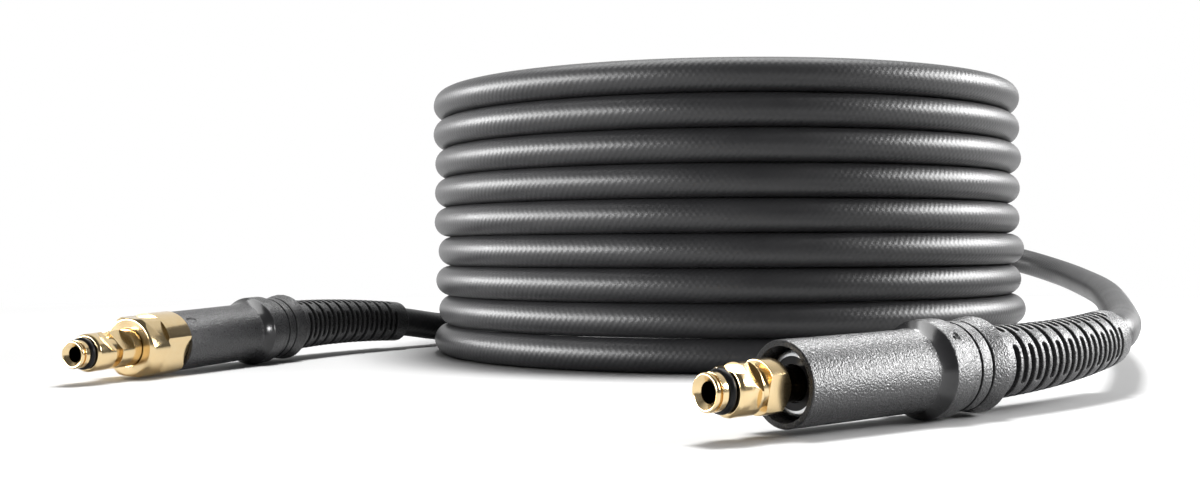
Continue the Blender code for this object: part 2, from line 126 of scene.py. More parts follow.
def lamp(name, place, aim, size, watts):
    """A rectangular soft lamp of size (width, height) at a place, aimed at a point."""
    light = bpy.data.lights.new(name, "AREA")
    light.shape = "RECTANGLE"
    light.size, light.size_y = size
    light.energy = watts
    item = bpy.data.objects.new(name, light)
    item.location = place
    item.rotation_euler = (Vector(aim) - Vector(place)).to_track_quat("-Z", "Y").to_euler()
    bpy.context.scene.collection.objects.link(item)
    return item


top_lamp = lamp("top_lamp", (0.0, 0.35, 1.6), (0.0, 0.0, 0.0), (1.8, 1.2), 34.0)
# The floor takes its light from a smaller lamp near it instead, for firmer shadows
floor_lamp = lamp("floor_lamp", (0.10, 0.22, 1.5), (0.05, -0.1, 0.0), (0.55, 0.40), 46.0)
floor_lit = bpy.data.collections.new("floor_lit")
floor_lit.objects.link(studio_floor)
floor_lamp.light_linking.receiver_collection = floor_lit
top_shade = bpy.data.collections.new("top_shade")
top_lamp.light_linking.receiver_collection = top_shade


def shade_from_top(item):
    """Keeps the broad top lamp's light off a piece: the floor, and later the polished brass."""
    top_shade.objects.link(item)
    top_shade.collection_objects[-1].light_linking.link_state = "EXCLUDE"


shade_from_top(studio_floor)
left_lamp = lamp("left_lamp", (-1.5, -0.25, 0.38), (0.0, 0.0, 0.06), (2.7, 0.40), 84.0)
lamp("right_lamp", (1.25, 0.14, 0.56), (0.05, 0.0, 0.06), (1.1, 0.42), 35.0)
# Two cards, one low on the right and one behind, light only the sleeves and the bend protectors
low_card = lamp("low_card", (0.9, -0.36, 0.08), (0.05, -0.2, 0.02), (0.5, 0.30), 17.0)
back_card = lamp("back_card", (0.47, 0.56, 0.85), (0.05, -0.2, 0.03), (0.5, 0.22), 8.5)
plastic_lit = bpy.data.collections.new("plastic_lit")
for card in (low_card, back_card):
    card.light_linking.receiver_collection = plastic_lit
# The left lamp is shaded from all but the hose and the brass
left_lit = bpy.data.collections.new("left_lit")
left_lamp.light_linking.receiver_collection = left_lit

# The hose: one black rubber hose with a textile braid inside its wall, whose pattern shows through.
# It is pushed into the ferrules, leaves each bend protector, and is wound into nine level turns.

HOSE_DIAMETER = 0.013
TURN_COUNT = 9
COIL_RADIUS = 0.1241
COIL_X = 0.0244
COIL_Y = 0.0730
HOSE_SIDES = 32
RING_SPACING = 0.005
HOSE_EDGE = radians(60)
# Each turn as wound, from the bottom: how far right it lies, and how much wider it is
TURN_SHIFTS = (0.0000, 0.0022, 0.0006, 0.0018, 0.0000, 0.0002, 0.0006, -0.0001, 0.0000)
TURN_GROWTHS = (0.0000, 0.0002, -0.0001, 0.0000, -0.0001, -0.0001, 0.0001, 0.0001, 0.0000)
# Where each turn climbs to the next one, in degrees from the coil's back
RAMP_START = 280.0
RAMP_END = 332.0
# Each tail's route: degrees from the coil's back, how far outside the turns' middle, and height
LEFT_ROUTE = (
    (-74.42, 0.0155, 0.0090),
    (-64.91, 0.0150, 0.0072),
    (-53.46, 0.0153, 0.0067),
    (-41.30, 0.0183, 0.0066),
    (-30.14, 0.0182, 0.0066),
    (-20.00, 0.0146, 0.0066),
    (-10.00, 0.0080, 0.0066),
    (0.00, 0.0025, 0.0065),
)
RIGHT_ROUTE = (
    (137.53, 0.0684, 0.0184),
    (124.86, 0.0526, 0.0184),
    (106.50, 0.0449, 0.0208),
    (89.02, 0.0519, 0.0244),
    (73.44, 0.0689, 0.0280),
    (62.64, 0.0848, 0.0325),
    (53.29, 0.0917, 0.0390),
    (42.61, 0.0797, 0.0480),
    (30.86, 0.0611, 0.0590),
    (16.70, 0.0429, 0.0720),
    (0.00, 0.0339, 0.0850),
    (-16.70, 0.0325, 0.0970),
    (-31.81, 0.0277, 0.1060),
    (-45.00, 0.0180, 0.1095),
    (-58.00, 0.0085, 0.1105),
    (-70.00, 0.0030, 0.1105),
    (-80.00, 0.0007, 0.1105),
)
TOP_TURN_END = 268.0

# Both fittings, along their own axes: the mouth of the grip sleeve, its flange, and the bend protector
FLANGE_START = 0.0508
FLANGE_WIDTH = 0.0066
FLANGE_RADIUS = 0.0136
NECK_LENGTH = 0.0085
COLLAR_LENGTH = 0.0066
SLOT_COUNT = 19
SLOT_PITCH = 0.0034
SLOT_LEAD = 0.0055
END_RING_LENGTH = 0.0068
CLEARANCE = 0.0003
COLLAR_END = FLANGE_START + FLANGE_WIDTH + CLEARANCE + NECK_LENGTH + COLLAR_LENGTH
BEND_START = COLLAR_END + SLOT_LEAD
PROTECTOR_END = BEND_START + SLOT_COUNT * SLOT_PITCH + END_RING_LENGTH
FERRULE_INSET = 0.0040
FERRULE_FRONT = 0.0020
UNION_OVER_SLEEVE = 0.0035


def around_coil(angle, outside, height):
    """A point at this angle from the coil's back, in degrees, this far outside its turns' middle."""
    reach = COIL_RADIUS + outside
    turn = radians(angle)
    return Vector((COIL_X + reach * sin(turn), COIL_Y + reach * cos(turn), height))


class Fitting:
    """How one end lies: local Z runs from the tip to the hose, and local X points up."""

    def __init__(self, side, mouth, flange, heading, rise, bend, bend_up):
        self.side = side
        self.mouth = mouth
        heading, rise = radians(heading), radians(rise)
        along = Vector((sin(heading) * cos(rise), cos(heading) * cos(rise), sin(rise)))
        right = Vector((cos(heading), -sin(heading), 0.0))
        up = right.cross(along)
        start = around_coil(*flange, FLANGE_RADIUS * cos(rise)) - along * FLANGE_START
        axes = Matrix((up, along.cross(up), along)).transposed()
        self.frame = Matrix.Translation(start) @ axes.to_4x4()
        self.turn = radians(hypot(bend, bend_up))
        self.toward = Vector((bend_up, bend, 0.0)).normalized()
        self.ferrule = mouth + FERRULE_INSET

    def bent(self, point):
        """Where a point of the straight bend protector goes as it bends behind its collar."""
        run = point.z - BEND_START
        if run <= 0:
            return point
        radius = (PROTECTOR_END - BEND_START) / self.turn
        across = point.dot(self.toward)
        side = Vector((point.x, point.y, 0.0)) - self.toward * across
        out = radius - (radius - across) * cos(run / radius)
        ahead = BEND_START + (radius - across) * sin(run / radius)
        return side + self.toward * out + Vector((0, 0, ahead))


RIGHT = Fitting("right", 0.0, (173.53, 0.1413), 53.6, 0.9, -15.0, 4.0)
LEFT = Fitting("left", UNION_OVER_SLEEVE + CLEARANCE, (-109.91, 0.0873), 24.0, 1.65, 13.0, -6.0)
FITTINGS = (LEFT, RIGHT)
STEPS_BETWEEN_KNOTS = 40


def smooth_run(points, spacing):
    """Evenly spaced points of a smooth curve through these points, ends included."""
    padded = [2 * points[0] - points[1], *points, 2 * points[-1] - points[-2]]
    dense = []
    for a, b, c, d in zip(padded, padded[1:], padded[2:], padded[3:]):
        for step in range(STEPS_BETWEEN_KNOTS):
            t = step / STEPS_BETWEEN_KNOTS
            bow = (2 * a - 5 * b + 4 * c - d) * t**2 + (3 * b - a - 3 * c + d) * t**3
            dense.append(0.5 * (2 * b + (c - a) * t + bow))
    dense.append(points[-1])
    total = sum((b - a).length for a, b in zip(dense, dense[1:]))
    count = round(total / spacing)
    even = [dense[0]]
    run = 0.0
    for a, b in zip(dense, dense[1:]):
        step = (b - a).length
        while len(even) < count and total * len(even) / count <= run + step:
            even.append(a.lerp(b, (total * len(even) / count - run) / step))
        run += step
    return [*even, dense[-1]]


def turn_shape(number, turned):
    """How far right, how much wider and how high the hose runs at this place of the winding."""
    here = max(0, min(TURN_COUNT - 1, number))
    after = max(0, min(TURN_COUNT - 1, number + 1))
    share = (turned - RAMP_START) / (RAMP_END - RAMP_START)
    share = max(0.0, min(1.0, share))
    share = share * share * (3 - 2 * share)
    values = []
    heights = [(i + 0.5) * HOSE_DIAMETER for i in range(TURN_COUNT)]
    for table in (TURN_SHIFTS, TURN_GROWTHS, heights):
        values.append(table[here] + (table[after] - table[here]) * share)
    return values


def wound_point(degrees_run):
    """A point of the winding, in degrees clockwise from the coil's back along the bottom turn."""
    number = int(degrees_run // 360)
    turned = degrees_run - 360 * number
    if turned >= RAMP_END:
        number += 1
        turned = 0.0
    shift, growth, height = turn_shape(number, turned)
    point = around_coil(degrees_run, growth, height)
    point.x += shift
    return point


ROUTE_KNOT_GAP = 0.012
WINDING_START = 10
WINDING_STEP = 6


def inside(fitting):
    """Points along the middle of the hose, from inside its ferrule to just past its bend protector."""
    points = []
    run = fitting.ferrule + FERRULE_FRONT + CLEARANCE
    while run < PROTECTOR_END + HOSE_DIAMETER:
        points.append(fitting.frame @ fitting.bent(Vector((0, 0, run))))
        run += ROUTE_KNOT_GAP
    return points


winding_end = (TURN_COUNT - 1) * 360 + int(TOP_TURN_END)
knots = inside(LEFT)
knots += [around_coil(*place) for place in LEFT_ROUTE]
knots += [wound_point(angle) for angle in range(WINDING_START, winding_end + 1, WINDING_STEP)]
knots += [around_coil(*place) for place in reversed(RIGHT_ROUTE)]
knots += reversed(inside(RIGHT))
hose_path = smooth_run(knots, RING_SPACING)


def tube(name, path, radius, sides):
    """A tube along a path, with flat ends, and UVs of the share round it and the metres along it."""
    tangents = []
    for i in range(len(path)):
        tangents.append((path[min(i + 1, len(path) - 1)] - path[max(i - 1, 0)]).normalized())
    across = tangents[0].cross(Vector((0, 0, 1))).normalized()
    points = []
    faces = []
    for i, (centre, tangent) in enumerate(zip(path, tangents)):
        across = (across - tangent * across.dot(tangent)).normalized()
        other = tangent.cross(across)
        for k in range(sides):
            turn = 2 * pi * k / sides
            points.append(centre + radius * (cos(turn) * across + sin(turn) * other))
    for i in range(len(path) - 1):
        for k in range(sides):
            a, b = i * sides + k, i * sides + (k + 1) % sides
            faces.append((a, b, b + sides, a + sides))
    faces.append(tuple(reversed(range(sides))))
    faces.append(tuple(range((len(path) - 1) * sides, len(path) * sides)))
    mesh = bpy.data.meshes.new(name)
    mesh.from_pydata(points, [], faces)
    layer = mesh.uv_layers.new(name="along")
    lengths = [0.0]
    for a, b in zip(path, path[1:]):
        lengths.append(lengths[-1] + (b - a).length)
    for face in mesh.polygons:
        ring = {mesh.loops[loop].vertex_index % sides for loop in face.loop_indices}
        seam = len(face.vertices) == 4 and ring == {0, sides - 1}
        for loop in face.loop_indices:
            vertex = mesh.loops[loop].vertex_index
            share = vertex % sides / sides
            if seam and vertex % sides == 0:
                share = 1.0
            layer.data[loop].uv = (share, lengths[vertex // sides])
    mesh.shade_smooth()
    mesh.set_sharp_from_angle(angle=HOSE_EDGE)
    item = bpy.data.objects.new(name, mesh)
    bpy.context.scene.collection.objects.link(item)
    return item, lengths[-1]


hose, hose_length = tube("braided_hose", hose_path, HOSE_DIAMETER / 2, HOSE_SIDES)
print("hose length", round(hose_length, 4))


class Shading:
    """A new Principled material, and short ways to add nodes to it."""

    def __init__(self, name, color, roughness, metallic=0.0):
        self.material = bpy.data.materials.new(name)
        self.material.use_nodes = True
        self.nodes = self.material.node_tree.nodes
        self.links = self.material.node_tree.links
        self.shader = self.nodes["Principled BSDF"]
        self.shader.inputs["Base Color"].default_value = (*color, 1.0)
        self.shader.inputs["Roughness"].default_value = roughness
        self.shader.inputs["Metallic"].default_value = metallic

    def math(self, operation, *values):
        node = self.nodes.new("ShaderNodeMath")
        node.operation = operation
        for socket, value in zip(node.inputs, values):
            self.feed(socket, value)
        return node.outputs[0]

    def feed(self, socket, value):
        if isinstance(value, bpy.types.NodeSocket):
            self.links.new(value, socket)
        else:
            socket.default_value = value

    def noise(self, place, scale, detail=2.0, roughness=0.5):
        node = self.nodes.new("ShaderNodeTexNoise")
        self.feed(node.inputs["Vector"], place)
        node.inputs["Scale"].default_value = scale
        node.inputs["Detail"].default_value = detail
        node.inputs["Roughness"].default_value = roughness
        return node.outputs["Fac"]

    def object_place(self):
        return self.nodes.new("ShaderNodeTexCoord").outputs["Object"]

    def uv(self):
        node = self.nodes.new("ShaderNodeSeparateXYZ")
        self.links.new(self.nodes.new("ShaderNodeTexCoord").outputs["UV"], node.inputs[0])
        return node.outputs["X"], node.outputs["Y"]

    def from_axis(self, place):
        """How far a point of a turned piece lies from the axis that it was turned about."""
        flat = self.nodes.new("ShaderNodeVectorMath")
        flat.operation = "MULTIPLY"
        flat.inputs[1].default_value = (1.0, 1.0, 0.0)
        self.feed(flat.inputs[0], place)
        reach = self.nodes.new("ShaderNodeVectorMath")
        reach.operation = "LENGTH"
        self.links.new(flat.outputs[0], reach.inputs[0])
        return reach.outputs["Value"]

    def between(self, value, low, high):
        """A value from 0 to 1 stretched to the range from low to high."""
        node = self.nodes.new("ShaderNodeMapRange")
        self.feed(node.inputs["Value"], value)
        node.inputs["To Min"].default_value = low
        node.inputs["To Max"].default_value = high
        return node.outputs["Result"]

    def tint(self, value, first, second):
        """A colour that runs from the first to the second as the value goes from 0 to 1."""
        node = self.nodes.new("ShaderNodeMix")
        node.data_type = "RGBA"
        self.feed(node.inputs["Factor"], value)
        for socket, color in ((node.inputs[6], first), (node.inputs[7], second)):
            self.feed(socket, (*color, 1.0) if isinstance(color, tuple) else color)
        self.links.new(node.outputs[2], self.shader.inputs["Base Color"])
        return node.outputs[2]

    def bump(self, height, depth, strength=1.0):
        """Relief of this depth in metres, on top of any relief added before."""
        node = self.nodes.new("ShaderNodeBump")
        self.feed(node.inputs["Strength"], strength)
        node.inputs["Distance"].default_value = depth
        self.links.new(height, node.inputs["Height"])
        normal = self.shader.inputs["Normal"]
        if normal.links:
            self.links.new(normal.links[0].from_socket, node.inputs["Normal"])
        self.links.new(node.outputs["Normal"], normal)


BRAID_STRANDS = 12
BRAID_LEAD = 0.0294
BRAID_DEPTH = 0.00012
BRAID_STRENGTH = 0.17
BRAID_WOBBLE = 2.2
BRAID_WOBBLE_SCALE = 260.0
SMEAR_SCALE = 55.0
DARK_RUBBER = (0.010, 0.010, 0.011)
SMEARED_RUBBER = (0.018, 0.018, 0.019)

rubber = Shading("braided_rubber", (0.014, 0.014, 0.015), 0.40)
around, along = rubber.uv()
around = rubber.math("MULTIPLY", around, 2 * pi * BRAID_STRANDS)
along = rubber.math("MULTIPLY", along, 2 * pi * BRAID_STRANDS / BRAID_LEAD)
wobble = rubber.noise(rubber.object_place(), BRAID_WOBBLE_SCALE)
wobble = rubber.math("MULTIPLY", wobble, BRAID_WOBBLE)
along = rubber.math("ADD", along, wobble)
right_lay = rubber.math("COSINE", rubber.math("ADD", along, around))
left_lay = rubber.math("COSINE", rubber.math("SUBTRACT", along, around))
crossing = rubber.math("ADD", right_lay, rubber.math("MULTIPLY", left_lay, 0.6))
rubber.bump(crossing, BRAID_DEPTH, BRAID_STRENGTH)
smears = rubber.noise(rubber.object_place(), SMEAR_SCALE, 5.0, 0.6)
rubber.feed(rubber.shader.inputs["Roughness"], rubber.between(smears, 0.36, 0.50))
rubber.tint(smears, DARK_RUBBER, SMEARED_RUBBER)
hose.data.materials.append(rubber.material)
left_lit.objects.link(hose)
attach(hose, "root")
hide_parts("hose_coil", "hose_tail_left", "hose_tail_right")

# The ferrules: steel cups, zinc plated, pushed over the hose's ends and crimped onto them.
# They sit inside the grip sleeves, where only the right one's bright rim shows in the mouth.

FERRULE_LENGTH = 0.0260
FERRULE_RADIUS = 0.0086
FERRULE_RIM_INSIDE = 0.0069
STEM_RADIUS = 0.0045
FERRULE_SIDES = 96
TURNED_EDGE = radians(32)
FILLET_CHORDS = 5
LONGEST_FILLET = 0.45
ZINC = (0.72, 0.73, 0.74)
# The dark colour given to the cup's face inside its rim
FACE_MIDDLE_DARK = (0.012, 0.012, 0.013)
BLOTCH_SCALE = 420.0
BLOTCH_DEPTH = 0.00002


def softened(outline, closed):
    """The outline's (radius, distance, fillet) corners as points, each fillet drawn in short chords."""
    corners = [Vector((radius, distance)) for radius, distance, fillet in outline]
    points = []
    for i, (corner, (_, _, fillet)) in enumerate(zip(corners, outline)):
        if fillet == 0 or (not closed and i in (0, len(corners) - 1)):
            points.append(corner)
            continue
        back = corners[i - 1] - corner
        ahead = corners[(i + 1) % len(corners)] - corner
        first = corner + back.normalized() * min(fillet, back.length * LONGEST_FILLET)
        last = corner + ahead.normalized() * min(fillet, ahead.length * LONGEST_FILLET)
        for step in range(FILLET_CHORDS + 1):
            t = step / FILLET_CHORDS
            points.append(first * (1 - t) ** 2 + corner * 2 * t * (1 - t) + last * t**2)
    return points


def turned(name, outline, sides, fitting):
    """A piece turned about a fitting's axis, closed or from axis to axis."""
    closed = outline[0][0] > 0 or outline[-1][0] > 0
    outline = softened(outline, closed)
    shape = bmesh.new()
    rings = []
    for radius, distance in outline:
        if radius < 1e-9:
            rings.append([shape.verts.new((0.0, 0.0, distance))] * sides)
            continue
        ring = []
        for k in range(sides):
            turn = 2 * pi * k / sides
            ring.append(shape.verts.new((radius * cos(turn), radius * sin(turn), distance)))
        rings.append(ring)
    pairs = list(zip(rings, rings[1:]))
    if closed:
        pairs.append((rings[-1], rings[0]))
    for first, second in pairs:
        for k in range(sides):
            n = (k + 1) % sides
            corners = dict.fromkeys((first[k], first[n], second[n], second[k]))
            if len(corners) > 2:
                shape.faces.new(list(corners))
    bmesh.ops.recalc_face_normals(shape, faces=shape.faces)
    mesh = bpy.data.meshes.new(name)
    shape.to_mesh(mesh)
    shape.free()
    mesh.shade_smooth()
    mesh.set_sharp_from_angle(angle=TURNED_EDGE)
    item = bpy.data.objects.new(name, mesh)
    item.matrix_world = fitting.frame
    bpy.context.scene.collection.objects.link(item)
    return item


steel = Shading("zinc_plated_steel", ZINC, 0.24, 1.0)
blotches = steel.noise(steel.object_place(), BLOTCH_SCALE, 4.0)
steel.feed(steel.shader.inputs["Roughness"], steel.between(blotches, 0.16, 0.34))
steel.bump(blotches, BLOTCH_DEPTH, 0.3)
# The middle of the cup's face, inside its rim, is coloured dark and not metallic, and only its rim
# shines
shiny = steel.math("GREATER_THAN", steel.from_axis(steel.object_place()), FERRULE_RIM_INSIDE)
steel.tint(shiny, FACE_MIDDLE_DARK, ZINC)
steel.feed(steel.shader.inputs["Metallic"], shiny)
steel.feed(steel.shader.inputs["Specular IOR Level"], 0.2)
for fitting in FITTINGS:
    front = fitting.ferrule
    inner = HOSE_DIAMETER / 2 + CLEARANCE
    hole = STEM_RADIUS + CLEARANCE
    ferrule = turned(
        f"crimped_ferrule_{fitting.side}",
        [
            (FERRULE_RADIUS, front + FERRULE_LENGTH, 0.0003),
            (FERRULE_RADIUS, front, 0.0012),
            (hole, front, 0.0002),
            (hole, front + FERRULE_FRONT, 0.0),
            (inner, front + FERRULE_FRONT, 0.0),
            (inner, front + FERRULE_LENGTH, 0.0002),
        ],
        FERRULE_SIDES,
        fitting,
    )
    ferrule.data.materials.append(steel.material)
    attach(ferrule, "root")
    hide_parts(f"ferrule_{fitting.side}")

# The grip sleeves: moulded black plastic tubes with a spark-eroded grain, over the ferrules.
# Each flares into a broad flange, and the mould's two halves leave a fine line along it.

SLEEVE_RADIUS = 0.0112
SLEEVE_WALL = 0.0016
FLARE_LENGTH = 0.0065
FLARE_CURVE = 2.1
FLARE_STEPS = 8
SPIGOT_LENGTH = 0.0140
SPIGOT_RADIUS = 0.0088
SLEEVE_SIDES = 144
PARTING_ANGLE = radians(140)
PARTING_HALF_ANGLE = 0.001
PARTING_RISE = 1.011
ERODED_SCALE = 1700.0
ERODED_DEPTH = 0.00030
GRAIN_SCALE = 2600.0
GRAIN_DEPTH = 0.00010
EROSION = 0.8
SMOOTH_LENGTH = 0.0044
ROUND_MARK_TURN = radians(46)
OVAL_MARK_TURN = radians(44)
OVAL_MARK_AT = 0.0036


def recess(item, shapes):
    """Cuts shapes out of a piece, each a bmesh that is used up."""
    for shape in shapes:
        bmesh.ops.recalc_face_normals(shape, faces=shape.faces)
        mesh = bpy.data.meshes.new("cutter")
        shape.to_mesh(mesh)
        shape.free()
        cutter = bpy.data.objects.new("cutter", mesh)
        cutter.matrix_world = item.matrix_world
        bpy.context.scene.collection.objects.link(cutter)
        cut = item.modifiers.new("cut", "BOOLEAN")
        cut.operation = "DIFFERENCE"
        cut.solver = "EXACT"
        cut.object = cutter
        bpy.context.view_layer.update()
        graph = bpy.context.evaluated_depsgraph_get()
        left = bpy.data.meshes.new_from_object(item.evaluated_get(graph))
        item.modifiers.clear()
        item.data = left
        bpy.data.objects.remove(cutter)
    item.data.shade_smooth()
    item.data.set_sharp_from_angle(angle=TURNED_EDGE)


def pill(length, width, depth, angle, radius, distance, lengthwise):
    """A long oval cutter lying on a tube's side, at an angle from its top."""
    shape = bmesh.new()
    bmesh.ops.create_uvsphere(shape, u_segments=32, v_segments=16, radius=1.0)
    size = (depth, width / 2, length / 2) if lengthwise else (depth, length / 2, width / 2)
    bmesh.ops.scale(shape, vec=size, verts=shape.verts)
    bmesh.ops.translate(shape, vec=(radius, 0.0, distance), verts=shape.verts)
    bmesh.ops.rotate(shape, cent=(0, 0, 0), matrix=Matrix.Rotation(angle, 3, "Z"), verts=shape.verts)
    return shape


plastic = Shading("black_plastic", (0.018, 0.018, 0.019), 0.4)
plastic_place = plastic.object_place()
grain = plastic.noise(plastic_place, GRAIN_SCALE, 2.0, 0.6)
coarse = plastic.noise(plastic_place, ERODED_SCALE, 1.0)
# The mould is eroded all over except where the flare rises to the flange, which comes out smooth
along_axis = plastic.nodes.new("ShaderNodeSeparateXYZ")
plastic.links.new(plastic_place, along_axis.inputs[0])
before_flare = plastic.math("LESS_THAN", along_axis.outputs["Z"], FLANGE_START - SMOOTH_LENGTH)
past_flare = plastic.math("GREATER_THAN", along_axis.outputs["Z"], FLANGE_START)
eroded = plastic.math("MAXIMUM", before_flare, past_flare)
erosion = plastic.math("MULTIPLY", eroded, EROSION)
plastic.bump(coarse, ERODED_DEPTH, erosion)
plastic.bump(grain, GRAIN_DEPTH, erosion)
mottled = plastic.math("MULTIPLY", plastic.between(grain, -0.55, 0.85), eroded)
plastic.feed(plastic.shader.inputs["Roughness"], plastic.math("ADD", mottled, 0.2))
# A small round recess with a pip in the right flange, and a long oval one near the left mouth
band = FLANGE_START + FLANGE_WIDTH / 2
marks = {
    "right": [
        pill(0.0036, 0.0030, 0.0005, ROUND_MARK_TURN, FLANGE_RADIUS, band, False),
        pill(0.0011, 0.0011, 0.0014, ROUND_MARK_TURN, FLANGE_RADIUS, band, False),
    ],
    "left": [
        pill(0.0054, 0.0028, 0.0006, OVAL_MARK_TURN, SLEEVE_RADIUS, LEFT.mouth + OVAL_MARK_AT, True),
    ],
}
for fitting in FITTINGS:
    start = fitting.mouth
    back = FLANGE_START + FLANGE_WIDTH
    bore = SLEEVE_RADIUS - SLEEVE_WALL
    spigot_bore = SPIGOT_RADIUS + CLEARANCE
    rise = FLANGE_RADIUS - SLEEVE_RADIUS
    flare = []
    for step in range(1, FLARE_STEPS + 1):
        share = step / FLARE_STEPS
        along = FLANGE_START - FLARE_LENGTH * (1 - share)
        flare.append((SLEEVE_RADIUS + rise * share**FLARE_CURVE, along, 0.0))
    sleeve = turned(
        f"moulded_sleeve_{fitting.side}",
        [
            (bore, start, 0.0002),
            (SLEEVE_RADIUS, start, 0.0005),
            (SLEEVE_RADIUS, FLANGE_START - FLARE_LENGTH, 0.0),
            *flare[:-1],
            (FLANGE_RADIUS, FLANGE_START, 0.0005),
            (FLANGE_RADIUS, back, 0.0003),
            (spigot_bore, back, 0.0),
            (spigot_bore, back - SPIGOT_LENGTH, 0.0),
            (bore, back - SPIGOT_LENGTH, 0.0),
        ],
        SLEEVE_SIDES,
        fitting,
    )
    for vertex in sleeve.data.vertices:
        x, y, z = vertex.co
        across = (atan2(y, x) - PARTING_ANGLE) % pi
        on_line = min(across, pi - across) < PARTING_HALF_ANGLE
        outside = hypot(x, y) > SLEEVE_RADIUS - 0.0001
        if on_line and outside and start + 0.0006 < z < FLANGE_START:
            vertex.co = (x * PARTING_RISE, y * PARTING_RISE, z)
    recess(sleeve, marks[fitting.side])
    sleeve.data.materials.append(plastic.material)
    plastic_lit.objects.link(sleeve)
    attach(sleeve, "root")
    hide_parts(f"grip_sleeve_{fitting.side}")

# The bend protectors: flexible black plastic, pushed into the sleeves, with a grooved neck and a collar.
# Rings of slots, every other one a quarter turn round, let the tapering tail bend with the hose.

NECK_RADIUS = 0.0125
NECK_GROOVE_WIDTH = 0.0008
NECK_GROOVE_DEPTH = 0.0009
COLLAR_RADIUS = 0.0135
PROTECTOR_FIRST_RADIUS = 0.0106
PROTECTOR_LAST_RADIUS = 0.0090
SLOT_WIDTH = 0.0018
SLOT_WEB = 0.0046
SLOT_ROUNDING = 0.00035
SLOT_EDGE_ROWS = 4
END_RING_EDGE = 0.0010
SLOTTED_EDGE = radians(40)
# Where the columns of points round the tail lie: from a web to a slot's full width, and on from there
TIP_SHARES = (0.0, 0.06, 0.2, 0.42, 0.7, 1.0)
SPAN_SHARES = (0.12, 0.37, 0.63, 0.88)


def protector_radius(distance):
    share = (distance - COLLAR_END) / (PROTECTOR_END - COLLAR_END)
    return PROTECTOR_FIRST_RADIUS + (PROTECTOR_LAST_RADIUS - PROTECTOR_FIRST_RADIUS) * share


def slot_columns():
    """Angles round the tail, closer together where the slots' rounded ends are."""
    columns = []
    web = SLOT_WEB / 2 / PROTECTOR_FIRST_RADIUS
    tip = (SLOT_WEB + SLOT_WIDTH) / 2 / PROTECTOR_LAST_RADIUS
    for quarter in range(4):
        middle = pi / 4 + quarter * pi / 2
        for way in (-1, 1):
            for share in TIP_SHARES:
                columns.append(middle + way * (web + (tip - web) * share))
        columns.append(middle)
        columns.append(middle - web / 2)
        columns.append(middle + web / 2)
        for share in SPAN_SHARES:
            columns.append(middle + tip + (pi / 2 - 2 * tip) * share)
    return sorted(angle % (2 * pi) for angle in columns)


def slot_opening(angle, middle, web_angle):
    """Half the slot's width at this angle, which is nothing at its two webs."""
    away = abs((angle - web_angle + pi / 2) % pi - pi / 2) * protector_radius(middle)
    into = away - SLOT_WEB / 2
    half = SLOT_WIDTH / 2
    if into <= 1e-6:
        return 0.0
    return half if into >= half else sqrt(half**2 - (half - into) ** 2)


